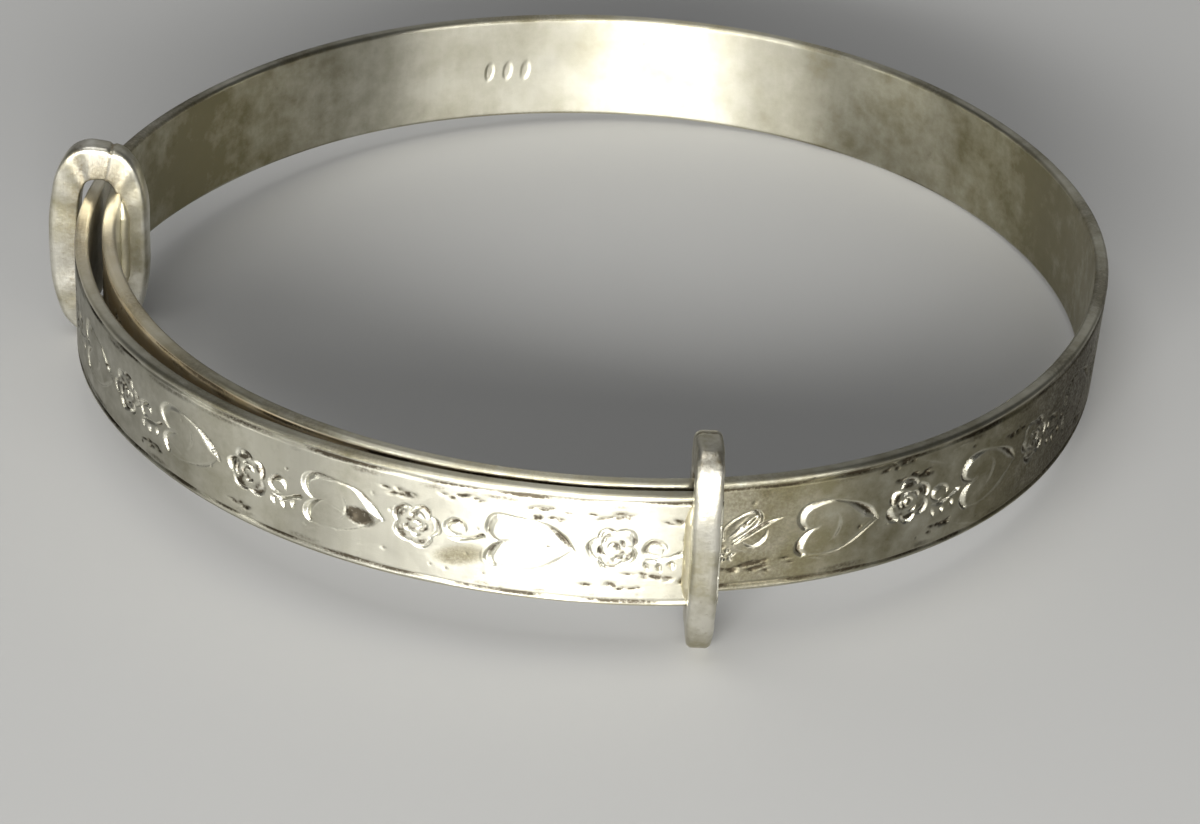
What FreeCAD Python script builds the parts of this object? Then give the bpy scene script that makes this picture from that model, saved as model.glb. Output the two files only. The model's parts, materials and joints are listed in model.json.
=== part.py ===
"""Expanding bangle bracelet: one springy silver strip coiled a little over once
round, with a square-wire collar soldered to each end. Each collar holds the
other layer of the strip, so the bangle opens as the layers slide past each other.

The strip is built as short curved lengths that turn on each other at round
knuckles, standing in for its springiness. All sizes are in millimetres and
degrees, and +Z runs along the wearer's wrist.
"""
import FreeCAD
import Part
import math
import os

# Strip
BAND_WIDTH = 5.5
BAND_THICKNESS = 0.64
LENGTH_COUNT = 20
KNUCKLE_CLEARANCE = 0.04
END_CORNER_RADIUS = 0.5

# Engraved border line along each edge of the outer face
LINE_WIDTH = 0.18
LINE_DEPTH = 0.08
LINE_FROM_EDGE = 0.33

# Collars, of wire bent into a rounded rectangle
SLOT_GAP = 2.1
SLOT_HEIGHT = 6.7
COLLAR_WALL = 1.2
COLLAR_END_WALL = 1.7
COLLAR_DEPTH = 1.2
COLLAR_CORNER_RADIUS = 2.1
SLOT_CORNER_RADIUS = 0.6
COLLAR_EDGE_ROUNDING = 0.2
SEAT_GAP = 0.012
OUTER_COLLAR_SKEW = -5.5
# How far each end of the strip reaches past the middle of its collar
END_REACH = 0.6

# Solder beads
BEAD_SIZE = 0.45
BEAD_LENGTH = 4.9

# The coil: radius of the strip's middle line at each angle round it, going
# anticlockwise seen from +Z, from the inner end to the outer end.
COIL = [
    (175, 23.32), (194, 23.22), (212, 22.95), (234, 22.70), (256, 22.45), (281, 22.60),
    (306, 22.90), (335, 22.75), (365, 22.88), (395, 23.00), (425, 23.32), (455, 23.26),
    (485, 23.36), (510, 23.55), (524, 23.95), (538, 24.40), (554, 24.55), (572, 24.45),
    (592, 24.00), (612, 23.52), (630, 23.50), (642.8, 23.63),
]

UP = FreeCAD.Vector(0, 0, 1)


def coil_edge():
    """Smooth middle line of the strip."""
    points = []
    for angle, radius in COIL:
        turn = math.radians(angle)
        points.append(FreeCAD.Vector(radius * math.cos(turn), radius * math.sin(turn), 0))
    curve = Part.BSplineCurve()
    curve.interpolate(points)
    return curve.toShape()


def station(edge, distance):
    """Point of the middle line, its direction and its outward normal."""
    value = edge.getParameterByLength(distance)
    along = edge.tangentAt(value)
    along.normalize()
    return edge.valueAt(value), along, along.cross(UP)


def joint_distance(edge, index):
    """Distance along the strip to the knuckle before length number index."""
    return edge.Length * index / LENGTH_COUNT


def arc_between(stations, offset):
    """Arc through three stations, offset outwards."""
    points = [point + normal * offset for point, along, normal in stations]
    return Part.Arc(*points)


def prism(sides, low, high):
    """Solid with a closed outline, between two heights."""
    solid = Part.Face(Part.Wire(Part.__sortEdges__(sides))).extrude(UP * (high - low))
    solid.translate(UP * low)
    return solid


def line_cutter(stations, low, high):
    """Curved bar that cuts an engraved line into the outer face."""
    outer = arc_between(stations, BAND_THICKNESS / 2 + 0.5)
    inner = arc_between(stations, BAND_THICKNESS / 2 - LINE_DEPTH)
    sides = [
        outer.toShape(),
        Part.makeLine(outer.EndPoint, inner.EndPoint),
        inner.toShape(),
        Part.makeLine(inner.StartPoint, outer.StartPoint),
    ]
    return prism(sides, low, high)


def end_corners(slab, point):
    """The short edges across the thickness at the slab's end near a point."""
    found = []
    for edge in slab.Edges:
        across = edge.CenterOfMass - point
        across.z = 0
        level = abs(edge.Vertexes[0].Z - edge.Vertexes[-1].Z) < 1e-6
        if level and across.Length < BAND_THICKNESS / 4:
            found.append(edge)
    return found


def strip_length(edge, index):
    """One length of the strip: a round knuckle at its start, a socket at its end."""
    half = BAND_THICKNESS / 2
    top = BAND_WIDTH / 2
    socket = half + KNUCKLE_CLEARANCE
    first = index == 0
    last = index == LENGTH_COUNT - 1
    start = joint_distance(edge, index)
    stop = joint_distance(edge, index + 1)
    reach = stop if last else stop - math.sqrt(socket ** 2 - half ** 2)
    stations = [station(edge, start), station(edge, (start + stop) / 2), station(edge, reach)]
    outer = arc_between(stations, half)
    inner = arc_between(stations, -half)
    sides = [outer.toShape(), inner.toShape()]
    if first:
        sides.append(Part.makeLine(inner.StartPoint, outer.StartPoint))
    else:
        point, along, normal = stations[0]
        knuckle = Part.Arc(inner.StartPoint, point - along * half, outer.StartPoint)
        sides.append(knuckle.toShape())
    if last:
        sides.append(Part.makeLine(outer.EndPoint, inner.EndPoint))
    else:
        point, along, normal = station(edge, stop)
        hollow = Part.Arc(outer.EndPoint, point - along * socket, inner.EndPoint)
        sides.append(hollow.toShape())
    body = prism(sides, -top, top)
    if first:
        body = body.makeFillet(END_CORNER_RADIUS, end_corners(body, stations[0][0]))
    if last:
        body = body.makeFillet(END_CORNER_RADIUS, end_corners(body, stations[2][0]))
    for side in (-1, 1):
        middle = side * (top - LINE_FROM_EDGE)
        line = line_cutter(stations, middle - LINE_WIDTH / 2, middle + LINE_WIDTH / 2)
        body = body.cut(line)
    return body.Solids[0]


def rounded_bar(width, height, depth, radius):
    """Bar centred on the origin, rounded at the four edges along Y."""
    bar = Part.makeBox(
        width, depth, height, FreeCAD.Vector(-width / 2, -depth / 2, -height / 2)
    )
    corners = []
    for edge in bar.Edges:
        if abs(edge.Vertexes[0].Y - edge.Vertexes[-1].Y) > depth / 2:
            corners.append(edge)
    return bar.makeFillet(radius, corners)


def collar():
    """Rounded rectangular collar centred on the origin, its slot along Y."""
    width = SLOT_GAP + 2 * COLLAR_WALL
    height = SLOT_HEIGHT + 2 * COLLAR_END_WALL
    ring = rounded_bar(width, height, COLLAR_DEPTH, COLLAR_CORNER_RADIUS)
    rims = []
    for edge in ring.Edges:
        depths = [vertex.Y for vertex in edge.Vertexes]
        if max(depths) - min(depths) < 1e-6:
            rims.append(edge)
    ring = ring.makeFillet(COLLAR_EDGE_ROUNDING, rims)
    slot = rounded_bar(SLOT_GAP, SLOT_HEIGHT, COLLAR_DEPTH + 1, SLOT_CORNER_RADIUS)
    return ring.cut(slot).Solids[0]


def place(shape, point, normal, skew):
    """Turn a shape so that its X axis follows a normal, and move it to a point."""
    heading = math.degrees(math.atan2(normal.y, normal.x)) + skew
    placed = shape.copy()
    placed.rotate(FreeCAD.Vector(0, 0, 0), UP, heading)
    placed.translate(point)
    return placed


def collar_at(edge, distance, side, skew):
    """Collar with its wall on the strip's inner (-1) or outer (1) face."""
    point, along, normal = station(edge, distance)
    slack = SEAT_GAP + COLLAR_DEPTH / 2 * math.tan(math.radians(abs(skew)))
    shift = side * (BAND_THICKNESS / 2 + slack - SLOT_GAP / 2)
    return place(collar(), point + normal * shift, normal, skew)


def bead_at(edge, distance, side, ahead, skew, neighbours):
    """Bead of solder in the corner between the strip's face and the collar."""
    point, along, normal = station(edge, distance)
    reach = COLLAR_DEPTH / 2
    bar = Part.makeBox(
        BEAD_SIZE + 0.4, BEAD_SIZE + 0.3, BEAD_LENGTH,
        FreeCAD.Vector(-0.4, -0.3, -BEAD_LENGTH / 2),
    )
    outline = Part.makeCylinder(
        BEAD_SIZE, BEAD_LENGTH, FreeCAD.Vector(0, 0, -BEAD_LENGTH / 2), UP
    )
    bar = bar.common(outline).Solids[0]
    if side < 0:
        bar = bar.mirror(FreeCAD.Vector(0, 0, 0), FreeCAD.Vector(1, 0, 0))
    if ahead < 0:
        bar = bar.mirror(FreeCAD.Vector(0, 0, 0), FreeCAD.Vector(0, 1, 0))
    corner = point + normal * (side * BAND_THICKNESS / 2) + along * (ahead * reach)
    bead = place(bar, corner, normal, skew)
    for solid in neighbours:
        bead = bead.cut(solid)
    return max(bead.Solids, key=lambda solid: solid.Volume)


def build():
    """Every sub-part by name, centred on the middle of the whole bangle."""
    edge = coil_edge()
    parts = {}
    for index in range(LENGTH_COUNT):
        parts["strip_length_%02d" % (index + 1)] = strip_length(edge, index)
    inner_seat = END_REACH
    outer_seat = edge.Length - END_REACH
    inner_end = parts["strip_length_01"]
    outer_end = parts["strip_length_%02d" % LENGTH_COUNT]
    inner_collar = collar_at(edge, inner_seat, -1, 0)
    outer_collar = collar_at(edge, outer_seat, 1, OUTER_COLLAR_SKEW)
    parts["inner_end_collar"] = inner_collar
    parts["outer_end_collar"] = outer_collar
    parts["inner_end_solder"] = bead_at(
        edge, inner_seat, -1, 1, 0, [inner_end, inner_collar]
    )
    parts["outer_end_solder"] = bead_at(
        edge, outer_seat, 1, -1, OUTER_COLLAR_SKEW, [outer_end, outer_collar]
    )
    whole = Part.makeCompound(list(parts.values()))
    centre = whole.optimalBoundingBox(False, False).Center
    for shape in parts.values():
        shape.translate(-centre)
    return parts, edge, centre


def main():
    os.makedirs("parts", exist_ok=True)
    parts, edge, centre = build()
    for name, shape in parts.items():
        shape.exportStep("parts/%s.step" % name)


if __name__ == "__main__":
    main()
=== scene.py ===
"""Looks for the expanding bangle bracelet: an engraved silver strip coiled a little
over once round, with a soldered wire collar at each end.

Sizes are in millimetres and are turned into metres when a mesh is made. The strip is
laid out flat first: "distance" runs along it from the inner end and "height" across it.
"""
import json
import math
import random

import bpy
import numpy as np
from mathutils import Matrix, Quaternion, Vector

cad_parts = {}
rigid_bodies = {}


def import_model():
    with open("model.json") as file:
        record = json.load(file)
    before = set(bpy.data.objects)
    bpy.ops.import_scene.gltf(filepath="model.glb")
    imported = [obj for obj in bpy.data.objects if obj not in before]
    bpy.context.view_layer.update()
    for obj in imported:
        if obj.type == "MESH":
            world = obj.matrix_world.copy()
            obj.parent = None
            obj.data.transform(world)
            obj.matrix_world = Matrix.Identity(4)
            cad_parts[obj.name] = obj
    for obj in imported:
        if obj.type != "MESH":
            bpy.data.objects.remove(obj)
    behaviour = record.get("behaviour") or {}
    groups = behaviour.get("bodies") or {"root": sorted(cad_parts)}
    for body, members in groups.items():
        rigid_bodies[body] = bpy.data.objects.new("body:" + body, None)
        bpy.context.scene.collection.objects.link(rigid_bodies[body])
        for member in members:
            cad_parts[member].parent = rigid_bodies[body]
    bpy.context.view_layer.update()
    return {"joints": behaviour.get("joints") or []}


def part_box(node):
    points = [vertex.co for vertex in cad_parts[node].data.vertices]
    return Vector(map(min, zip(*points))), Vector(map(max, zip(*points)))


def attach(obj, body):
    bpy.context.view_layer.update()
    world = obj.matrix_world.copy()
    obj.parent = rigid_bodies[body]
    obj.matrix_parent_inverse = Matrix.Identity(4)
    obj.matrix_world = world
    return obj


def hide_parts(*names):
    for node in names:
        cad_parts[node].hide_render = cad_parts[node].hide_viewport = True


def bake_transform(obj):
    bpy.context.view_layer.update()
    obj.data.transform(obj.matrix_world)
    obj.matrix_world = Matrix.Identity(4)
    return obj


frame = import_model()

MM = 0.001
rng = np.random.default_rng(7)
chance = random.Random(11)

# Strip, as in the CAD model
BAND_WIDTH = 5.5
BAND_THICKNESS = 0.64
LENGTH_COUNT = 20
LINE_FROM_EDGE = 0.33
END_REACH = 0.6

# Collars and solder, as in the CAD model
SLOT_GAP = 2.1
SLOT_HEIGHT = 6.7
COLLAR_WALL = 1.2
COLLAR_END_WALL = 1.7
COLLAR_DEPTH = 1.2
SEAT_GAP = 0.012
OUTER_COLLAR_SKEW = math.radians(-5.5)
BEAD_SIZE = 0.45
BEAD_LENGTH = 4.9

# Unevenness of the collars and solder; angles go round a collar from its outward side
WALL_WAVE = 0.05
FACE_WAVE = 0.04
SEAM_ANGLE = 1.72
SEAM_DEPTH = 0.09
SMUDGE_ANGLE = 1.15
FOOT_TAPER = 0.12
BEAD_FULLNESS = 0.86

# Fineness of the strip's mesh
ROW_STEP = 0.055
OUTER_COLUMNS = 104
INNER_COLUMNS = 38
RIM_RADIUS = 0.2
RIM_COLUMNS = 5

# Lean of the strip, its top edge outwards: azimuth, spread and amount in degrees
LEANS = ((218, 22, 4.5), (-5, 32, 3.0))
LEAN_PIVOT = 1.2

# Where tarnish is thick: distance along the strip, spread and amount
# The olive patches of both faces are in part painted shade, darker on the strip's sides that turn
# away from the front lamps.
OUTER_TARNISH_AND_SHADE = ((62, 10, 0.85), (46, 5, 0.65), (151, 8, 0.5), (180, 9, -0.3), (105, 30, 0.4))
INNER_TARNISH_AND_SHADE = ((79, 8, 0.85), (92, 8, 0.25), (136, 7, 0.9), (50, 40, 0.3))
OUTER_BROWN = ((44.5, 3.5, 0.33), (65, 7.5, 0.55))
RIM_FILM = ((9, 8, 0.6), (150, 7, 0.6))
# Length over which the two layers of the strip lie against each other
OVERLAP = 43.0

# Engraving
CUT_DEPTH = 0.19
MOTIF_PITCH = 8.354
FIRST_HEART = 4.96
BURR_HEIGHT = 0.025
BURR_WIDTH = 0.07
# Hearts, counted from 0 at the inner end, that have something different beside them
SPRAYS = (5, 11, 17)
POINT_STAINS = (4, 12, 20)
LEAF_STAINS = (9, 15, 21)
# Rows of small pits: distance along the strip and height across it
PIT_ROWS = (
    (182.7, 1.8), (182.9, 1.4), (185.9, 1.65), (185.7, -1.8), (187.4, -1.2), (176.5, 1.5),
    (44.4, -1.65), (45.2, -1.35), (52.6, 1.45), (58.3, 1.2), (66.0, -1.7), (168.5, -1.8),
)

# Wear: how many pits, rows of pits, hair scratches and dents inside
PIT_COUNT = 260
PIT_ROW_COUNT = 22
SCRATCH_COUNT = 110
INNER_DENT_COUNT = 70

# Punched marks inside the strip
MARKS_FROM_START = 115.9
MARK_SPACING = 0.95

# Camera
CAMERA_TARGET = (0.00155, 0.00059, 0.0)
CAMERA_DISTANCE = 0.1992
CAMERA_ELEVATION = math.radians(28.58)
CAMERA_ROLL = math.radians(3.02)
CAMERA_LENS = 127.2
CAMERA_SHIFT = (-0.0068, -0.11)


# ---------------------------------------------------------------- strip's path

def cubic_through(points, places):
    """Function giving the smooth curve through points that stand at places."""
    points = np.asarray(points, float)
    places = np.asarray(places, float)
    count = len(places)
    gaps = np.diff(places)
    system = np.zeros((count, count))
    right = np.zeros(points.shape)
    system[0, :2] = (1, -1)
    system[-1, -2:] = (-1, 1)
    slopes = np.diff(points, axis=0) / gaps[:, None]
    for i in range(1, count - 1):
        system[i, i - 1:i + 2] = (gaps[i - 1], 2 * (gaps[i - 1] + gaps[i]), gaps[i])
        right[i] = 6 * (slopes[i] - slopes[i - 1])
    bends = np.linalg.solve(system, right)

    def at(wanted):
        wanted = np.asarray(wanted, float)
        i = np.clip(np.searchsorted(places, wanted) - 1, 0, count - 2)
        gap = gaps[i][:, None]
        before = (places[i + 1] - wanted)[:, None]
        after = (wanted - places[i])[:, None]
        curve = (bends[i] * before ** 3 + bends[i + 1] * after ** 3) / (6 * gap)
        curve += (points[i] / gap - bends[i] * gap / 6) * before
        curve += (points[i + 1] / gap - bends[i + 1] * gap / 6) * after
        return curve

    return at


def seat_point(node, side):
    """Where the strip's middle line meets the middle of the collar soldered to it."""
    low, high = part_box(node)
    middle = (low + high) / 2 / MM
    outward = Vector((middle.x - CAMERA_TARGET[0] / MM, middle.y - CAMERA_TARGET[1] / MM, 0))
    outward.normalize()
    point = middle - outward * side * (BAND_THICKNESS / 2 + SEAT_GAP - SLOT_GAP / 2)
    return (point.x, point.y)


def joint_points():
    """The joints' places in order along the strip."""
    places = {}
    for joint in frame["joints"]:
        numbers = []
        for body in (joint["parent"], joint["child"]):
            if body == "inner_end":
                numbers.append(1)
            elif body == "outer_end":
                numbers.append(LENGTH_COUNT)
            else:
                numbers.append(int(body.split("_")[1]))
        places[min(numbers)] = (joint["pos_m"][0] / MM, joint["pos_m"][1] / MM)
    return [places[number] for number in sorted(places)]


def strip_path():
    """Points, directions and outward normals every ROW_STEP along the strip."""
    knots = [seat_point("inner_end_collar", -1)]
    knots += joint_points()
    knots.append(seat_point("outer_end_collar", 1))
    chords = np.linalg.norm(np.diff(np.array(knots), axis=0), axis=1)
    places = np.concatenate([[0], np.cumsum(chords)])
    curve = cubic_through(knots, places)
    fine = np.linspace(-END_REACH, places[-1] + END_REACH, 8000)
    samples = curve(fine)
    travelled = np.concatenate(
        [[0], np.cumsum(np.linalg.norm(np.diff(samples, axis=0), axis=1))]
    )
    length = travelled[-1]
    rows = int(round(length / ROW_STEP / (2 * LENGTH_COUNT))) * 2 * LENGTH_COUNT
    distance = np.linspace(0, length, rows + 1)
    point = np.column_stack([np.interp(distance, travelled, samples[:, k]) for k in (0, 1)])
    along = np.gradient(point, distance, axis=0)
    along /= np.linalg.norm(along, axis=1)[:, None]
    normal = np.column_stack([along[:, 1], -along[:, 0]])
    return distance, point, along, normal


distance, path_point, path_along, path_normal = strip_path()
LENGTH = distance[-1]
HALF_WIDTH = BAND_WIDTH / 2
outer_height = np.linspace(-HALF_WIDTH + RIM_RADIUS, HALF_WIDTH - RIM_RADIUS, OUTER_COLUMNS)
inner_height = np.linspace(HALF_WIDTH - RIM_RADIUS, -HALF_WIDTH + RIM_RADIUS, INNER_COLUMNS)


# ---------------------------------------------------------------- engraving

class Face:
    """Relief, stains and bright spots of one face of the strip, laid out flat."""

    def __init__(self, heights):
        self.heights = heights
        self.relief = np.zeros((len(distance), len(heights)))
        self.stain = np.zeros_like(self.relief)
        self.bright = np.zeros_like(self.relief)
        self.dull = np.zeros_like(self.relief)

    def window(self, low, high, margin):
        """Rows and columns of the grid near a box, with their coordinates."""
        rows = np.nonzero((distance > low[0] - margin) & (distance < high[0] + margin))[0]
        cols = np.nonzero(
            (self.heights > low[1] - margin) & (self.heights < high[1] + margin)
        )[0]
        if len(rows) == 0 or len(cols) == 0:
            return None
        grid = np.ix_(rows, cols)
        return grid, np.meshgrid(distance[rows], self.heights[cols], indexing="ij")

    def cut(self, points, widths, depth=CUT_DEPTH, lean=0.35, burr=1.0, grime=1.0):
        """V-shaped cut along a smooth line, with widths spread evenly along it.

        Lean makes one wall steeper, burr raises the metal beside the cut, and grime
        is how much dirt it holds.
        """
        points = np.asarray(points, float)
        steps = np.concatenate(
            [[0], np.cumsum(np.linalg.norm(np.diff(points, axis=0), axis=1))]
        )
        count = max(6, int(steps[-1] / 0.05))
        wanted = np.linspace(0, steps[-1], count)
        if len(points) > 2:
            line = cubic_through(points, steps)(wanted)
        else:
            line = points[0] + (points[1] - points[0]) * (wanted / steps[-1])[:, None]
        width = np.interp(wanted, np.linspace(0, steps[-1], len(widths)), widths)
        found = self.window(line.min(0), line.max(0), 0.6)
        if found is None:
            return
        grid, (far, up) = found
        across = far[..., None] - line[:, 0]
        rise = up[..., None] - line[:, 1]
        away = np.hypot(across, rise)
        nearest = away.argmin(axis=2)
        pick = np.take_along_axis
        reach = pick(away, nearest[..., None], 2)[..., 0]
        heading = np.gradient(line, axis=0)
        side = (heading[nearest, 1] * pick(across, nearest[..., None], 2)[..., 0]
                - heading[nearest, 0] * pick(rise, nearest[..., None], 2)[..., 0])
        half = width[nearest] / 2 * np.where(side > 0, 1 + lean, 1 - lean)
        share = width[nearest] / max(widths)
        groove = -depth * np.clip(1 - reach / half, 0, 1) * share
        ridge = np.exp(-((reach - half * 1.15) / BURR_WIDTH) ** 2) * BURR_HEIGHT * share * burr
        relief = self.relief[grid]
        relief = np.where(groove < 0, np.minimum(relief, groove), np.maximum(relief, relief + ridge))
        self.relief[grid] = relief
        place = nearest / count
        dirt = chance.uniform(0.3, 1.0) + 0.5 * np.sin(7 * place + chance.uniform(0, 6))
        dirt = np.clip(dirt, 0, 1) * grime
        dark = np.clip(1.25 - 1.6 * reach / half, 0, 1) * share * dirt
        self.stain[grid] = np.maximum(self.stain[grid], dark)
        # Shine lightens the cut's walls and burr: partly metal worn clean, partly a painted
        # highlight on the walls.
        shine = np.clip(2.6 - 2 * reach / half, 0, 1) * share * grime
        self.bright[grid] = np.maximum(self.bright[grid], shine)

    def dent(self, place, size, depth, turn=0.0, stain=0.0, power=2.0, dull=0.0):
        """Soft oval dent, or a bump if depth is negative.

        Stain is the brown dirt in it, dull its olive tarnish, and a higher power
        makes its edge sharper.
        """
        found = self.window(np.array(place), np.array(place), 2.2 * max(size))
        if found is None:
            return
        grid, (far, up) = found
        x, y = far - place[0], up - place[1]
        u = (x * math.cos(turn) + y * math.sin(turn)) / size[0]
        v = (y * math.cos(turn) - x * math.sin(turn)) / size[1]
        shape = np.exp(-(u * u + v * v) ** (power / 2))
        self.relief[grid] -= depth * shape
        self.stain[grid] = np.maximum(self.stain[grid], stain * shape)
        self.dull[grid] = np.maximum(self.dull[grid], dull * shape)


def wobble(points, amount):
    """Points moved a little, as a hand does."""
    return [(x + chance.uniform(-amount, amount), y + chance.uniform(-amount, amount))
            for x, y in points]


def placed(points, start, rise=0.0):
    """Points of a motif moved to its place on the strip."""
    return [(start + x, rise + y) for x, y in points]


def heart(face, start):
    """Heart lying on its side, its point towards the outer end."""
    rise = chance.uniform(-0.08, 0.08)
    bold = chance.uniform(0.85, 1.2)
    upper = [(0.98, 0.06), (0.45, 0.02), (0.1, 0.26), (0.02, 0.74), (0.3, 1.13), (0.85, 1.27),
             (1.65, 1.22), (2.45, 0.98), (3.1, 0.5), (3.72, -0.12)]
    lower = [(0.98, 0.06), (0.5, -0.16), (0.12, -0.5), (0.04, -0.92), (0.26, -1.2)]
    under = [(0.26, -1.2), (1.0, -1.32), (1.9, -1.2), (2.8, -0.8), (3.6, -0.16)]
    inside = [(1.7, 0.72), (2.02, 0.3), (1.92, -0.25), (1.5, -0.7)]
    widths = [0.1, 0.24, 0.4, 0.44, 0.3, 0.14, 0.16, 0.36 * bold, 0.46 * bold, 0.14]
    face.cut(placed(wobble(upper, 0.05), start, rise), widths, lean=0.25)
    face.cut(placed(wobble(lower, 0.05), start, rise), [0.1, 0.24, 0.38, 0.44, 0.3], lean=-0.25)
    face.cut(placed(wobble(under, 0.06), start, rise), [0.1, 0.1, 0.16, 0.22, 0.1],
             depth=CUT_DEPTH * 0.25, lean=-0.4, burr=0.3, grime=0.5)
    face.cut(placed(wobble(inside, 0.1), start, rise), [0.05, 0.2, 0.2, 0.05],
             depth=CUT_DEPTH * 0.2, burr=0.2, grime=0.5)
    face.dent((start + 1.5, rise), (1.1, 0.8), -0.04)


def arc_points(centre, radius, low, high, count=5, bulge=0.0, squeeze=1.0):
    """Points round part of a circle that swells by bulge at its middle."""
    points = []
    for step in range(count):
        share = step / (count - 1)
        angle = low + (high - low) * share
        reach = radius + bulge * math.sin(math.pi * share)
        points.append((centre[0] + reach * math.cos(angle),
                       centre[1] + reach * squeeze * math.sin(angle)))
    return points


def rose(face, start):
    """Rose seen from above: scalloped outer petals, a few inner ones and a swirl."""
    rise = chance.uniform(-0.05, 0.25)
    centre = (start + 1.35, rise)
    turn = chance.uniform(0, 2 * math.pi)
    petals = chance.choice((5, 5, 6))
    span = 2 * math.pi / petals
    for petal in range(petals):
        low = turn + petal * span
        reach = chance.uniform(0.66, 0.86)
        arc = arc_points(centre, reach, low - 0.1, low + span + 0.05, 6, 0.26)
        bold = chance.uniform(0.16, 0.46)
        face.cut(wobble(arc, 0.04), [0.1, bold, bold * 1.1, bold * 0.9, 0.1],
                 depth=CUT_DEPTH * chance.uniform(0.6, 1.1), lean=-0.25)
        lie = low + span / 2
        spot = (centre[0] + reach * math.cos(lie), centre[1] + reach * math.sin(lie))
        face.dent(spot, (0.3, 0.13), 0.01, lie + math.pi / 2, chance.uniform(0.1, 0.9), 4)
        face.dent(spot, (0.45, 0.26), 0.0, lie + math.pi / 2, chance.uniform(0.1, 0.4), 3)
    for petal in range(4):
        low = turn + 1.0 + petal * chance.uniform(1.4, 1.8)
        arc = arc_points(centre, chance.uniform(0.32, 0.52), low, low + 1.3, 5, 0.08)
        face.cut(wobble(arc, 0.04), [0.08, 0.22, 0.28, 0.1], depth=CUT_DEPTH * 0.8, lean=-0.3)
    heart_of_rose = arc_points(centre, 0.16, turn, turn + 4.4, 6, 0.03)
    face.cut(wobble(heart_of_rose, 0.02), [0.08, 0.2, 0.2, 0.1])
    face.dent(centre, (0.75, 0.7), -0.05)
    for _ in range(7):
        reach, angle = chance.uniform(0.1, 0.75), chance.uniform(0, 2 * math.pi)
        spot = (centre[0] + reach * math.cos(angle), centre[1] + reach * math.sin(angle))
        face.dent(spot, (chance.uniform(0.1, 0.3), chance.uniform(0.07, 0.14)), 0.03,
                  chance.uniform(0, 3.1), chance.uniform(0.4, 0.85))


def bud(face, start, dabs=True):
    """Open bud with a stem and short leaf dabs, between a rose and a heart."""
    rise = chance.uniform(-0.2, 0.1)
    tilt = chance.uniform(-0.5, -0.1)
    ring = arc_points((0.5, 0.18), 0.38, tilt, tilt + 5.4, 8, 0.03, 0.75)
    stem = [(0.15, -0.3), (0.6, -0.36), (1.1, -0.22), (1.6, 0.04)]
    face.cut(placed(wobble(ring, 0.03), start, rise), [0.1, 0.26, 0.32, 0.26, 0.2, 0.1])
    face.cut(placed(wobble(stem, 0.05), start, rise), [0.08, 0.2, 0.16, 0.24], lean=0.2)
    if not dabs:
        return
    for x, y, lie in ((0.1, -0.5, -1.1), (0.65, -0.52, 1.2), (1.25, -0.34, 1.5)):
        dab = [(x, y), (x + 0.3 * math.cos(lie), y - 0.36 * abs(math.sin(lie)))]
        face.cut(placed(wobble(dab, 0.06), start, rise), [0.1, chance.uniform(0.2, 0.36), 0.14])


def leaf_spray(face, start):
    """Two filled petals crossed by a stem, with a small flower below."""
    upper = [(0.45, -0.05), (0.55, 0.55), (1.1, 1.0), (1.95, 1.2), (2.05, 0.85), (1.5, 0.25),
             (0.9, -0.15)]
    vein = [(1.15, 0.25), (1.6, 0.75), (2.0, 1.1)]
    fold = [(0.75, 0.0), (1.2, 0.45), (1.65, 0.95)]
    stem = [(0.9, -0.35), (1.7, 0.12), (2.3, 0.55), (2.9, 0.78)]
    lower = [(1.3, -0.3), (1.75, -0.45), (2.2, -0.2), (2.35, 0.2)]
    face.dent((start + 1.3, 0.5), (0.75, 0.42), 0.07, 0.75, 0.25, 4)
    face.cut(placed(wobble(upper, 0.03), start), [0.12, 0.1, 0.12, 0.2, 0.26, 0.2, 0.12])
    face.cut(placed(wobble(fold, 0.03), start), [0.1, 0.36, 0.14])
    face.cut(placed(wobble(vein, 0.03), start), [0.1, 0.3, 0.12], lean=-0.3)
    face.cut(placed(wobble(stem, 0.04), start), [0.1, 0.22, 0.26, 0.08], lean=-0.3)
    face.cut(placed(wobble(lower, 0.04), start), [0.08, 0.18, 0.2, 0.08], depth=CUT_DEPTH * 0.7)
    for k in range(5):
        angle = k * 2 * math.pi / 5 + 0.4
        dab = [(0.65 + r * math.cos(angle), -0.9 + r * math.sin(angle)) for r in (0.1, 0.36)]
        face.cut(placed(wobble(dab, 0.04), start), [0.08, 0.2, 0.08], depth=CUT_DEPTH * 0.6)
    for x, y, reach in ((1.0, -1.42, 1.3), (1.5, -1.62, 1.0)):
        face.dent((start + x + reach / 2, y), (reach / 2, 0.1), 0.05, 0.14, 0.95, 4)
    for x, y in ((0.1, -0.15), (0.05, -0.6), (0.3, -0.45), (0.15, -1.2)):
        face.dent((start + x, y), (0.22, 0.12), 0.05, 0.3, 0.9, 4)


def border_lines(face):
    """Groove along each edge that leaves a narrow rounded bead outside it."""
    for side in (-1, 1):
        drift = slow_noise(distance, 9.0) * 0.05 + slow_noise(distance, 1.6) * 0.02
        middle = side * (HALF_WIDTH - LINE_FROM_EDGE) + drift
        outward = (face.heights[None, :] - middle[:, None]) * side
        depth = (CUT_DEPTH * (0.5 + 0.25 * slow_noise(distance, 3.0)))[:, None]
        half = (0.11 + 0.04 * slow_noise(distance, 2.5))[:, None]
        groove = -depth * np.clip(1 - np.abs(outward) / half, 0, 1)
        face.relief = np.minimum(face.relief, groove)
        patchy = np.clip(0.55 + 0.6 * slow_noise(distance, 1.3), 0.1, 1)[:, None]
        dark = np.clip(1.3 - np.abs(outward) / half, 0, 1) * patchy
        smudge = 0.5 * np.exp(-((outward + 0.25) / 0.16) ** 2)
        smudge = smudge * np.clip(slow_noise(distance, 1.1), 0, 1)[:, None]
        face.stain = np.maximum(face.stain, np.maximum(dark, smudge))
        bead = np.clip((outward - 0.1) / 0.08, 0, 1) * 0.6
        face.bright = np.maximum(face.bright, bead * (1 - 0.5 * patchy))


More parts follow.
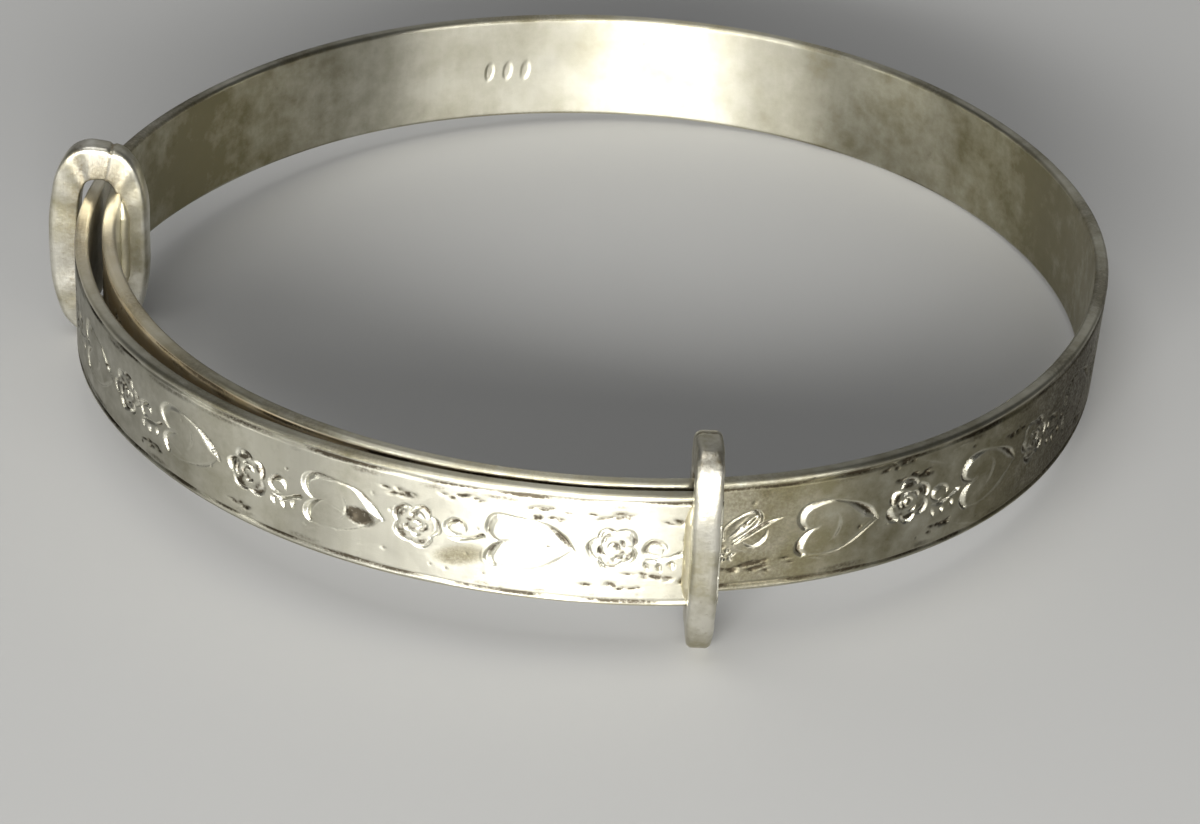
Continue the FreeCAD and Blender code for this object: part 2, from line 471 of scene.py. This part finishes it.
def slow_noise(places, scale):
    """Smooth random wave between about -1 and 1 along the strip."""
    count = int(LENGTH / scale) + 4
    values = rng.uniform(-1, 1, (count, 1))
    return cubic_through(values, np.arange(count) * scale)(places)[:, 0]


def pit_row(face, place):
    """A few small dark pits in a row."""
    for _ in range(int(rng.integers(6, 12))):
        spot = (place[0] + rng.normal(0, 0.5), place[1] + rng.normal(0, 0.08))
        face.dent(spot, (rng.uniform(0.12, 0.3), rng.uniform(0.06, 0.12)),
                  rng.uniform(0.02, 0.05), rng.normal(0, 0.2), rng.uniform(0.6, 1.0))


def wear(face):
    """Pits, dents and hair scratches that years of use leave on the outer face."""
    for _ in range(PIT_COUNT):
        place = (rng.uniform(0, LENGTH), rng.uniform(-HALF_WIDTH, HALF_WIDTH))
        size = rng.uniform(0.05, 0.13)
        face.dent(place, (size, size * rng.uniform(0.5, 1.0)), rng.uniform(0.01, 0.04),
                  rng.uniform(0, math.pi), rng.uniform(0.1, 0.8))
    for _ in range(PIT_ROW_COUNT):
        pit_row(face, (rng.uniform(0, LENGTH), rng.choice([-1, 1]) * rng.uniform(1.2, 2.3)))
    for place in PIT_ROWS:
        pit_row(face, place)
    for _ in range(SCRATCH_COUNT):
        place = np.array((rng.uniform(0, LENGTH), rng.uniform(-HALF_WIDTH, HALF_WIDTH)))
        turn = rng.normal(0, 0.5)
        reach = rng.uniform(0.4, 1.8)
        end = place + reach * np.array((math.cos(turn), math.sin(turn)))
        face.cut([place, (place + end) / 2 + rng.normal(0, 0.03, 2), end],
                 [0.04, 0.09, 0.04], depth=0.012, burr=0.2, grime=0.3)


def engrave():
    """The outer face with its border, flowers, hearts and wear."""
    face = Face(outer_height)
    count = int((LENGTH - FIRST_HEART) / MOTIF_PITCH) + 2
    for number in range(count):
        start = FIRST_HEART + number * MOTIF_PITCH + chance.uniform(-0.1, 0.1)
        heart(face, start)
        if number in SPRAYS:
            leaf_spray(face, start - 3.75)
        else:
            rose(face, start - 4.45)
            bud(face, start - 1.85, dabs=number not in LEAF_STAINS)
        if number in POINT_STAINS:
            face.dent((start + 2.6, -0.2), (0.72, 0.42), 0.07, -0.2, 1.0, 5)
            face.dent((start + 2.3, -0.25), (0.16, 0.14), -0.06)
        if number in LEAF_STAINS:
            face.dent((start - 1.25, -1.05), (1.2, 0.56), 0.03, 0.25, 0.36, 4, dull=0.9)
    border_lines(face)
    wear(face)
    return face


def punch_marks(face):
    """Row of three blank oval marks, and shallow dents all over the face."""
    for number in (-1, 0, 1):
        place = (MARKS_FROM_START + number * MARK_SPACING, -0.15)
        face.dent(place, (0.22, 0.48), 0.05, 0.12, 0.0, 6)
    for _ in range(INNER_DENT_COUNT):
        place = (rng.uniform(0, LENGTH), rng.uniform(-HALF_WIDTH, HALF_WIDTH))
        size = rng.uniform(0.15, 0.35)
        face.dent(place, (size, size), 0.008, 0, rng.uniform(0, 0.3))


outer_face = engrave()
inner_face = Face(inner_height)
punch_marks(inner_face)


# ---------------------------------------------------------------- strip's mesh

def rim(side):
    """Offset and height of the points round one rim, from outer to inner face."""
    half = BAND_THICKNESS / 2
    ring = []
    for step in range(1, RIM_COLUMNS + 1):
        angle = math.pi / 2 * step / RIM_COLUMNS
        ring.append((half - RIM_RADIUS * (1 - math.cos(angle)),
                     side * (HALF_WIDTH - RIM_RADIUS * (1 - math.sin(angle)))))
    for step in range(RIM_COLUMNS):
        angle = math.pi / 2 * step / RIM_COLUMNS
        ring.append((-half + RIM_RADIUS * (1 - math.sin(angle)),
                     side * (HALF_WIDTH - RIM_RADIUS * (1 - math.cos(angle)))))
    return ring


def patches(base, spots):
    """Thickness of tarnish along the strip, from a few soft patches of it; some olive patches are
    painted shade as well.
    """
    amount = np.full(len(distance), base)
    for place, spread, strength in spots:
        amount += strength * np.exp(-((distance - place) / spread) ** 2)
    return np.minimum(amount, 1)[:, None]


def section_grids():
    """What every mesh point needs, by name.

    "tone" is olive tarnish in the open, in part painted shade on the sides of the strip,
    and "film" the gold-brown kind on the two faces that lie against each other.
    """
    half = BAND_THICKNESS / 2
    top, bottom = np.array(rim(1)), np.array(rim(-1)[::-1])
    under = np.clip((OVERLAP - distance) / 8, 0, 1)[:, None]
    over = np.clip((distance - LENGTH + OVERLAP) / 8, 0, 1)[:, None]
    mottle = np.clip(0.5 + 0.5 * slow_noise(distance, 3.0), 0, 1)[:, None]
    # The rims' bright share is partly edges worn clean, partly a painted highlight along them.
    rim_look = {"stain": 0.3 * mottle, "bright": 0.4 * (1 - mottle), "tone": 0.7,
                "film": patches(0.0, RIM_FILM)}
    parts = [
        {"offset": half + outer_face.relief, "height": outer_face.heights,
         "stain": np.maximum(outer_face.stain, patches(0.0, OUTER_BROWN)),
         "bright": outer_face.bright,
         "tone": patches(0.2, OUTER_TARNISH_AND_SHADE) + outer_face.dull, "film": under},
        {"offset": top[:, 0], "height": top[:, 1], **rim_look},
        {"offset": -half - inner_face.relief, "height": inner_face.heights,
         "stain": inner_face.stain, "bright": 0.0,
         "tone": patches(0.2, INNER_TARNISH_AND_SHADE), "film": over},
        {"offset": bottom[:, 0], "height": bottom[:, 1], **rim_look},
    ]
    grids = {}
    for key in parts[0]:
        columns = [np.broadcast_to(part[key], (len(distance), len(part["height"])))
                   for part in parts]
        grids[key] = np.concatenate(columns, axis=1)
    return grids


def lean_slope():
    """How far the strip leans outwards per unit of height, along the strip."""
    around = np.degrees(np.arctan2(path_point[:, 1], path_point[:, 0]))
    slope = np.zeros(len(distance))
    for azimuth, spread, amount in LEANS:
        away = (around - azimuth + 180) % 360 - 180
        slope += math.tan(math.radians(amount)) * np.exp(-(away / spread) ** 2)
    return slope


def grid_normals(points):
    """Unit normals of a grid of points that closes round its second direction."""
    lengthwise = np.gradient(points, axis=0)
    crosswise = np.roll(points, -1, axis=1) - np.roll(points, 1, axis=1)
    normals = np.cross(crosswise, lengthwise)
    return normals / np.maximum(np.linalg.norm(normals, axis=2), 1e-12)[..., None]


def add_attribute(mesh, name, kind, values):
    """Values for each point of a mesh, for the materials to read."""
    attribute = mesh.attributes.new(name, kind, "POINT")
    field = "vector" if kind == "FLOAT_VECTOR" else "value"
    attribute.data.foreach_set(field, np.asarray(values, np.float32).ravel())


def mesh_object(name, vertices, faces, material):
    """Smooth-shaded object from points in millimetres."""
    mesh = bpy.data.meshes.new(name)
    mesh.from_pydata([tuple(v) for v in (np.asarray(vertices) * MM).tolist()], [], faces)
    mesh.polygons.foreach_set("use_smooth", [True] * len(mesh.polygons))
    mesh.materials.append(material)
    piece = bpy.data.objects.new(name, mesh)
    bpy.context.collection.objects.link(piece)
    return piece


def end_cap(ring_index, inward, vertices, faces, columns, flip):
    """Closes an end of the strip with a slightly drawn-in flat face."""
    ring = [ring_index * columns + k for k in range(columns)]
    centre = np.mean([vertices[k] for k in ring], axis=0)
    shrunk = []
    for scale, push in ((0.93, 0.02), (0.6, 0.04)):
        first = len(vertices)
        for k in ring:
            vertices.append(centre + (vertices[k] - centre) * scale - inward * push)
        shrunk.append([first + k for k in range(columns)])
    loops = [ring] + shrunk
    for near, far in zip(loops, loops[1:]):
        for k in range(columns):
            quad = [near[k], near[(k + 1) % columns], far[(k + 1) % columns], far[k]]
            faces.append(quad[::-1] if flip else quad)
    last = loops[-1]
    faces.append(last[::-1] if flip else last)


def strip_pieces(material):
    """The strip as a run of pieces that meet at the middle of each CAD length."""
    grids = section_grids()
    height = grids["height"]
    offset = grids["offset"] + lean_slope()[:, None] * (height - LEAN_PIVOT)
    flat = path_point[:, None, :] + path_normal[:, None, :] * offset[..., None]
    points = np.concatenate([flat, height[..., None]], axis=2)
    normals = grid_normals(points)
    columns = points.shape[1]
    rows_per_half = (len(distance) - 1) // (2 * LENGTH_COUNT)
    pieces = []
    for number in range(LENGTH_COUNT + 1):
        first = max(0, (2 * number - 1) * rows_per_half)
        last = min(len(distance) - 1, (2 * number + 1) * rows_per_half)
        rows = slice(first, last + 1)
        vertices = list(points[rows].reshape(-1, 3))
        faces = []
        count = last - first + 1
        for row in range(count - 1):
            low, high = row * columns, (row + 1) * columns
            for k in range(columns):
                after = (k + 1) % columns
                faces.append((low + k, low + after, high + after, high + k))
        body_points = len(vertices)
        if number == 0:
            end_cap(0, np.array((*path_along[0], 0)), vertices, faces, columns, True)
        if number == LENGTH_COUNT:
            end_cap(count - 1, -np.array((*path_along[-1], 0)), vertices, faces, columns, False)
        piece = mesh_object("strip_%02d" % number, vertices, faces, material)
        spare = len(vertices) - body_points
        layout = np.stack([
            np.broadcast_to(distance[rows, None], (count, columns)), height[rows],
            grids["offset"][rows],
        ], axis=2).reshape(-1, 3)
        add_attribute(piece.data, "layout", "FLOAT_VECTOR",
                      np.concatenate([layout, np.tile(layout[-1:], (spare, 1))]))
        for look in ("stain", "bright", "tone", "film"):
            add_attribute(piece.data, look, "FLOAT",
                          np.concatenate([grids[look][rows].ravel(), np.full(spare, 0.3)]))
        if spare == 0:
            piece.data.normals_split_custom_set_from_vertices(
                [tuple(n) for n in normals[rows].reshape(-1, 3).tolist()])
        pieces.append(piece)
    return pieces


def body_name(number):
    """The body of a CAD length of the strip."""
    if number == 1:
        return "inner_end"
    if number == LENGTH_COUNT:
        return "outer_end"
    return "length_%02d" % number


def hang_strip(pieces):
    """Joins the end pieces to their end bodies, leaves the others fixed in place, and hides the CAD
    lengths they replace.
    """
    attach(pieces[0], body_name(1))
    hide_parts("strip_length_01")
    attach(pieces[-1], body_name(LENGTH_COUNT))
    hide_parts("strip_length_%02d" % LENGTH_COUNT)
    for number in range(1, LENGTH_COUNT):
        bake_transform(pieces[number])
        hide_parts("strip_length_%02d" % (number + 1))


# ---------------------------------------------------------------- materials

class Nodes:
    """Short hand for building a material's nodes."""

    def __init__(self, name):
        self.material = bpy.data.materials.new(name)
        self.material.use_nodes = True
        self.tree = self.material.node_tree
        self.shader = self.tree.nodes["Principled BSDF"]

    def add(self, kind, inputs=None, **settings):
        node = self.tree.nodes.new("ShaderNode" + kind)
        for key, value in settings.items():
            setattr(node, key, value)
        for key, value in (inputs or {}).items():
            self.put(node.inputs[key], value)
        return node

    def put(self, socket, value):
        if isinstance(value, bpy.types.NodeSocket):
            self.tree.links.new(value, socket)
        else:
            socket.default_value = value

    def math(self, operation, first, second=0.0, clamp=False):
        node = self.add("Math", {0: first, 1: second}, operation=operation, use_clamp=clamp)
        return node.outputs[0]

    def mix(self, share, first, second):
        node = self.add("Mix", data_type="RGBA")
        self.put(node.inputs[0], share)
        self.put(node.inputs[6], first)
        self.put(node.inputs[7], second)
        return node.outputs[2]

    def stretched(self, source, scale):
        node = self.add("Mapping", {"Vector": source, "Scale": scale})
        return node.outputs[0]

    def noise(self, source, scale, detail=3.0, roughness=0.55):
        node = self.add("TexNoise", {
            "Vector": source, "Scale": scale, "Detail": detail, "Roughness": roughness})
        return node.outputs[0]

    def between(self, value, low, high, to_low=0.0, to_high=1.0):
        node = self.add("MapRange", {
            "Value": value, "From Min": low, "From Max": high,
            "To Min": to_low, "To Max": to_high})
        return node.outputs[0]

    def across_grain(self):
        """Level direction in the surface, for metal brushed along the strip."""
        geometry = self.add("NewGeometry")
        cross = self.add("VectorMath", {0: geometry.outputs["Normal"], 1: (0.0, 0.0, 1.0)},
                         operation="CROSS_PRODUCT")
        nudge = self.add("VectorMath", {0: cross.outputs[0], 1: (0.001, 0.0, 0.0)},
                         operation="ADD")
        return nudge.outputs[0]

    def finish(self, **sockets):
        for key, value in sockets.items():
            self.put(self.shader.inputs[key.replace("_", " ")], value)
        return self.material


def strip_silver():
    """Worn silver: brushed grain, brown recesses, olive patches partly painted shade, pale cuts and
    rims partly painted highlight.
    """
    nodes = Nodes("strip_silver")
    layout = nodes.add("Attribute", attribute_name="layout").outputs["Vector"]
    stain, bright, tone, film = [
        nodes.add("Attribute", attribute_name=look).outputs["Fac"]
        for look in ("stain", "bright", "tone", "film")
    ]
    outside = nodes.between(nodes.add("SeparateXYZ", {0: layout}).outputs[2], 0.0, 0.2)
    cloud = nodes.noise(layout, 0.32, 4.0, 0.6)
    blotch = nodes.noise(layout, 1.1, 5.0, 0.65)
    speckle = nodes.noise(layout, 7.0, 3.0, 0.7)
    streak = nodes.noise(nodes.stretched(layout, (2.2, 0.12, 1.0)), 1.0, 4.0, 0.6)
    hairline = nodes.noise(nodes.stretched(layout, (0.35, 14.0, 1.0)), 1.0, 3.0, 0.7)
    uneven = nodes.math("ADD", nodes.math("MULTIPLY", cloud, 0.9),
                        nodes.math("MULTIPLY", blotch, 0.7))
    # The olive tone is tarnish, and on the strip's sides painted shade as well.
    olive = nodes.math("ADD", tone, nodes.between(uneven, 0.5, 1.1, -0.4, 0.4), True)
    clean = nodes.mix(streak, (0.60, 0.585, 0.51, 1), (0.49, 0.475, 0.39, 1))
    toned = nodes.mix(olive, clean, (0.21, 0.19, 0.115, 1))
    aged = nodes.mix(nodes.math("MULTIPLY", film, nodes.between(blotch, 0.3, 0.7, 0.6, 1.0)),
                     toned, (0.44, 0.35, 0.20, 1))
    # Lighter where bright: metal worn clean, and in part a painted highlight on cut walls and rims.
    rubbed_and_highlight = nodes.mix(nodes.math("MULTIPLY", bright, 0.5, True), aged, (0.80, 0.79, 0.70, 1))
    ragged = nodes.math("MULTIPLY", stain, nodes.between(speckle, 0.3, 0.6, 0.45, 1.15), True)
    darkness = nodes.between(ragged, 0.12, 0.65)
    brown = nodes.mix(blotch, (0.085, 0.062, 0.036, 1), (0.045, 0.038, 0.025, 1))
    colour = nodes.mix(nodes.math("MULTIPLY", darkness, 0.92), rubbed_and_highlight, brown)
    rough = nodes.math("ADD", nodes.between(blotch, 0.3, 0.7, 0.32, 0.43),
                       nodes.math("MULTIPLY", darkness, 0.25))
    rough = nodes.math("SUBTRACT", rough, nodes.math("MULTIPLY", bright, 0.1))
    metal = nodes.math("SUBTRACT", 1.0, nodes.math("MULTIPLY", film, 0.65))
    grain = nodes.math("ADD", nodes.math("MULTIPLY", hairline, 0.5),
                       nodes.math("MULTIPLY", speckle, nodes.between(outside, 0, 1, 0.25, 0.6)))
    bump = nodes.add("Bump", {"Height": grain, "Strength": 0.35, "Distance": 0.00002})
    return nodes.finish(Base_Color=colour, Metallic=metal, Roughness=rough, Anisotropic=0.9,
                        Anisotropic_Rotation=0.25, Tangent=nodes.across_grain(),
                        Normal=bump.outputs[0])


def collar_silver():
    """Brighter polished wire with fine scratches and a little tarnish."""
    nodes = Nodes("collar_silver")
    place = nodes.stretched(nodes.add("TexCoord").outputs["Object"], (1000.0, 1000.0, 1000.0))
    cloud = nodes.noise(place, 0.45, 4.0, 0.6)
    speckle = nodes.noise(place, 4.0, 4.0, 0.7)
    scratch = nodes.noise(nodes.stretched(place, (9.0, 9.0, 0.5)), 1.0, 3.0, 0.7)
    colour = nodes.mix(nodes.between(cloud, 0.42, 0.66), (0.70, 0.68, 0.60, 1),
                       (0.36, 0.335, 0.24, 1))
    # The stain attribute darkens the wire's slot side, its seam and one smudge.
    stain = nodes.add("Attribute", attribute_name="stain").outputs["Fac"]
    dirt = nodes.math("ADD", nodes.between(speckle, 0.6, 0.75, 0.0, 0.5),
                      nodes.math("MULTIPLY", stain, nodes.between(speckle, 0.35, 0.6)), True)
    pitted = nodes.mix(dirt, colour, (0.26, 0.21, 0.13, 1))
    rough = nodes.between(cloud, 0.3, 0.7, 0.28, 0.42)
    height = nodes.math("ADD", nodes.math("MULTIPLY", speckle, 0.8),
                        nodes.math("MULTIPLY", scratch, 0.6))
    bump = nodes.add("Bump", {"Height": height, "Strength": 0.5, "Distance": 0.00004})
    return nodes.finish(Base_Color=pitted, Metallic=1.0, Roughness=rough, Normal=bump.outputs[0])


def solder_metal():
    """Slightly yellow, lumpy solder."""
    nodes = Nodes("solder_metal")
    place = nodes.stretched(nodes.add("TexCoord").outputs["Object"], (1000.0, 1000.0, 1000.0))
    lump = nodes.noise(place, 2.2, 4.0, 0.6)
    colour = nodes.mix(lump, (0.72, 0.68, 0.52, 1), (0.42, 0.37, 0.24, 1))
    bump = nodes.add("Bump", {"Height": lump, "Strength": 0.5, "Distance": 0.00006})
    return nodes.finish(Base_Color=colour, Metallic=1.0,
                        Roughness=nodes.between(lump, 0.3, 0.7, 0.38, 0.55),
                        Normal=bump.outputs[0])


def floor_paint():
    """Plain pale matt floor."""
    nodes = Nodes("floor_paint")
    place = nodes.add("TexCoord").outputs["Object"]
    cloud = nodes.noise(place, 30.0)
    colour = nodes.mix(cloud, (0.36, 0.36, 0.355, 1), (0.38, 0.38, 0.375, 1))
    return nodes.finish(Base_Color=colour, Roughness=0.9)


# ---------------------------------------------------------------- collars and solder

class Seat:
    """Place and directions of one collar, and of the solder beside it."""

    def __init__(self, row, side, ahead, skew, reach):
        turn = np.array([[math.cos(skew), -math.sin(skew)], [math.sin(skew), math.cos(skew)]])
        self.side = side
        self.wide = np.array((*(turn @ path_normal[row]), 0))
        self.deep = np.array((*(turn @ path_along[row]), 0))
        slack = SEAT_GAP + COLLAR_DEPTH / 2 * math.tan(abs(skew))
        shift = side * (BAND_THICKNESS / 2 + slack - SLOT_GAP / 2)
        self.middle = np.array((*(path_point[row] + path_normal[row] * shift), 0))
        edge = path_point[row] + path_normal[row] * side * BAND_THICKNESS / 2
        self.corner = np.array((*(edge + path_along[row] * ahead * reach), 0))
        self.ahead = ahead

    def point(self, wide, high, deep):
        return self.middle + self.wide * wide + self.deep * deep + np.array((0, 0, high))


def squared_circle(angle, half_width, half_height, power):
    """Point of an outline between an ellipse and a rectangle."""
    across, up = math.cos(angle), math.sin(angle)
    return (math.copysign(abs(across) ** (2 / power), across) * half_width,
            math.copysign(abs(up) ** (2 / power), up) * half_height)


def wave(angle, waves):
    """Sum of a few waves at an angle, mostly between -1 and 1."""
    return sum(size * math.sin(count * angle + phase) for count, size, phase in waves)


def random_waves(counts=(2, 3, 5, 9, 14)):
    """Waves for one uneven side of a hand-made piece."""
    return [(count, chance.uniform(0.1, 0.35), chance.uniform(0, 6.3)) for count in counts]


def collar_piece(name, seat, extra, material):
    """Ring of hand-bent wire, its wall thicker by extra on the side away from the solder.

    The corners of its slot are fuller on the soldered side, where solder has run in.
    """
    around, corner_steps = 220, 6
    outer_waves, front_waves, back_waves = [random_waves() for _ in range(3)]
    # Each rounded corner of the wire: far side or slot side, front or back,
    # the angle where its arc starts, and its radius
    corners = ((1, 1, 0, 0.32), (0, 1, 90, 0.14), (0, -1, 180, 0.14), (1, -1, 270, 0.32))
    vertices, darkening = [], []
    for step in range(around):
        angle = 2 * math.pi * (step + 0.5) / around
        power = 2.6 if seat.side * math.cos(angle) > 0 else 3.4
        inner = np.array(squared_circle(angle, SLOT_GAP / 2, SLOT_HEIGHT / 2, power))
        outer = np.array(squared_circle(
            angle, SLOT_GAP / 2 + COLLAR_WALL, SLOT_HEIGHT / 2 + COLLAR_END_WALL, 2.7))
        wall = np.linalg.norm(outer - inner)
        outward = (outer - inner) / wall
        wall += WALL_WAVE * wave(angle, outer_waves)
        wall += extra * max(0, -seat.side * math.cos(angle))
        front = COLLAR_DEPTH / 2 + FACE_WAVE * wave(angle, front_waves)
        back = COLLAR_DEPTH / 2 + FACE_WAVE * wave(angle, back_waves)
        seam = math.exp(-((angle - SEAM_ANGLE) / 0.03) ** 2)
        smudge = math.exp(-((angle - SMUDGE_ANGLE) / 0.16) ** 2)
        taper = 1 - FOOT_TAPER * max(0.0, -math.sin(angle)) ** 4
        wall -= SEAM_DEPTH * seam
        for far, face, first, radius in corners:
            reach = front if face > 0 else back
            for part in range(corner_steps):
                turn = math.radians(first + 90 * part / (corner_steps - 1))
                along = (wall - radius if far else radius) + radius * math.cos(turn)
                deep = face * (reach - radius) + radius * math.sin(turn)
                place = inner + outward * along
                deep *= taper - 0.06 * seam
                vertices.append(seat.point(place[0], place[1], deep))
                # Darker on the wire's slot side next to the strip, along the seam and in one smudge.
                darkening.append(max(0.55 * (1 - far), 0.9 * seam, 0.6 * smudge))
    loop = len(corners) * corner_steps
    faces = []
    for step in range(around):
        low, high = step * loop, (step + 1) % around * loop
        for k in range(loop):
            after = (k + 1) % loop
            faces.append((low + k, high + k, high + after, low + after))
    piece = mesh_object(name, vertices, faces, material)
    add_attribute(piece.data, "stain", "FLOAT", darkening)
    return piece


def solder_piece(name, seat, material):
    """Lumpy fillet of solder in the corner between the strip and its collar."""
    rows, arc = 90, 9
    lumps, spread = [random_waves((1, 2, 3)) for _ in range(2)]
    vertices, faces = [], []
    for row in range(rows):
        share = row / (rows - 1)
        high = (share - 0.5) * BEAD_LENGTH
        fade = max(0.12, min(1.0, 5.5 * min(share, 1 - share)) ** 0.5)
        size = BEAD_SIZE * fade * (BEAD_FULLNESS + 0.12 * wave(4 * share, lumps))
        flow = BEAD_SIZE * fade * (BEAD_FULLNESS + 0.15 * wave(5 * share, spread))
        vertices.append(seat.corner + np.array((0, 0, high)))
        for step in range(arc):
            turn = math.pi / 2 * step / (arc - 1)
            out = size * math.cos(turn) * seat.side
            away = flow * math.sin(turn) * seat.ahead
            vertices.append(seat.corner + seat.wide * out + seat.deep * away
                            + np.array((0, 0, high)))
    loop = arc + 1
    flip = seat.side * seat.ahead < 0
    for row in range(rows - 1):
        for k in range(loop):
            quad = [row * loop + k, row * loop + (k + 1) % loop,
                    (row + 1) * loop + (k + 1) % loop, (row + 1) * loop + k]
            faces.append(quad[::-1] if flip else quad)
    for row, turned in ((0, not flip), (rows - 1, flip)):
        cap = [row * loop + k for k in range(loop)]
        faces.append(cap[::-1] if turned else cap)
    return mesh_object(name, vertices, faces, material)


def fit_collars():
    """Both collars and their solder, riding with the ends of the strip."""
    wire, solder = collar_silver(), solder_metal()
    seat_row = int(round(END_REACH / (distance[1] - distance[0])))
    reach = COLLAR_DEPTH / 2
    ends = (
        ("inner_end", 0.22, Seat(seat_row, -1, 1, 0, reach)),
        ("outer_end", 0.0, Seat(-1 - seat_row, 1, -1, OUTER_COLLAR_SKEW, reach)),
    )
    for end, extra, seat in ends:
        ring = collar_piece(end + "_collar_ring", seat, extra, wire)
        bead = solder_piece(end + "_solder_bead", seat, solder)
        for piece, node in ((ring, end + "_collar"), (bead, end + "_solder")):
            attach(piece, end)
            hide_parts(node)


# ---------------------------------------------------------------- stage

def resting_floor():
    """Plane through the collars' feet and the strip's lower edge behind them."""
    feet = []
    for node in ("inner_end_collar", "outer_end_collar"):
        low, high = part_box(node)
        feet.append(Vector(((low.x + high.x) / 2, (low.y + high.y) / 2, low.z)))
    across = (feet[1] - feet[0]).normalized()
    lowest = -HALF_WIDTH * MM
    best = None
    for x, y in path_point * MM:
        edge = Vector((x, y, lowest))
        normal = across.cross(edge - feet[0]).normalized()
        if normal.z < 0:
            normal = -normal
        gap = min(normal.dot(Vector((px, py, lowest)) - feet[0])
                  for px, py in path_point[::40] * MM)
        if gap > -0.00002 and (best is None or normal.z > best.z):
            best = normal
    return feet[0], best


def make_floor():
    point, normal = resting_floor()
    size = 1.5
    mesh = bpy.data.meshes.new("floor")
    mesh.from_pydata([(-size, -size, 0), (size, -size, 0), (size, size, 0), (-size, size, 0)],
                     [], [(0, 1, 2, 3)])
    mesh.materials.append(floor_paint())
    floor = bpy.data.objects.new("floor", mesh)
    bpy.context.collection.objects.link(floor)
    floor.location = point
    floor.rotation_euler = normal.to_track_quat("Z", "Y").to_euler()


def area_light(name, azimuth, elevation, away, size, power, tint=(1, 1, 1)):
    """Soft rectangular lamp that faces the bangle."""
    data = bpy.data.lights.new(name, "AREA")
    data.shape = "RECTANGLE"
    data.size, data.size_y = size
    data.energy = power
    data.color = tint
    lamp = bpy.data.objects.new(name, data)
    turn, rise = math.radians(azimuth), math.radians(elevation)
    toward = Vector((math.cos(turn) * math.cos(rise), math.sin(turn) * math.cos(rise),
                     math.sin(rise)))
    lamp.location = toward * away
    lamp.rotation_euler = toward.to_track_quat("Z", "Y").to_euler()
    bpy.context.collection.objects.link(lamp)


def lights():
    area_light("front_light", 262, 13, 0.45, (0.27, 0.08), 2.5, (1.0, 0.99, 0.97))
    area_light("wide_panel", 269, 16, 0.5, (1.12, 0.08), 6.0, (1.0, 0.99, 0.96))
    area_light("left_panel", 200, 5, 0.5, (0.2, 0.05), 0.36, (1.0, 0.99, 0.92))
    area_light("back_panel", 90, 30, 0.6, (0.9, 0.3), 0.32)
    area_light("top_light", 200, 75, 0.5, (0.3, 0.3), 0.7)
    world = bpy.data.worlds.new("studio")
    world.use_nodes = True
    background = world.node_tree.nodes["Background"]
    background.inputs["Color"].default_value = (0.9, 0.92, 0.95, 1)
    background.inputs["Strength"].default_value = 0.08
    bpy.context.scene.world = world
    bpy.context.scene.view_settings.view_transform = "Standard"


def make_camera():
    data = bpy.data.cameras.new("camera")
    data.lens = CAMERA_LENS
    data.sensor_width = 36
    data.shift_x, data.shift_y = CAMERA_SHIFT
    data.clip_start = 0.01
    camera = bpy.data.objects.new("camera", data)
    bpy.context.collection.objects.link(camera)
    back = Vector((0, -math.cos(CAMERA_ELEVATION), math.sin(CAMERA_ELEVATION)))
    camera.location = Vector(CAMERA_TARGET) + back * CAMERA_DISTANCE
    aim = (-back).to_track_quat("-Z", "Y")
    camera.rotation_mode = "QUATERNION"
    camera.rotation_quaternion = aim @ Quaternion((0, 0, 1), CAMERA_ROLL)
    bpy.context.scene.camera = camera


# ---------------------------------------------------------------- everything

silver = strip_silver()
hang_strip(strip_pieces(silver))

fit_collars()

make_floor()
lights()
make_camera()
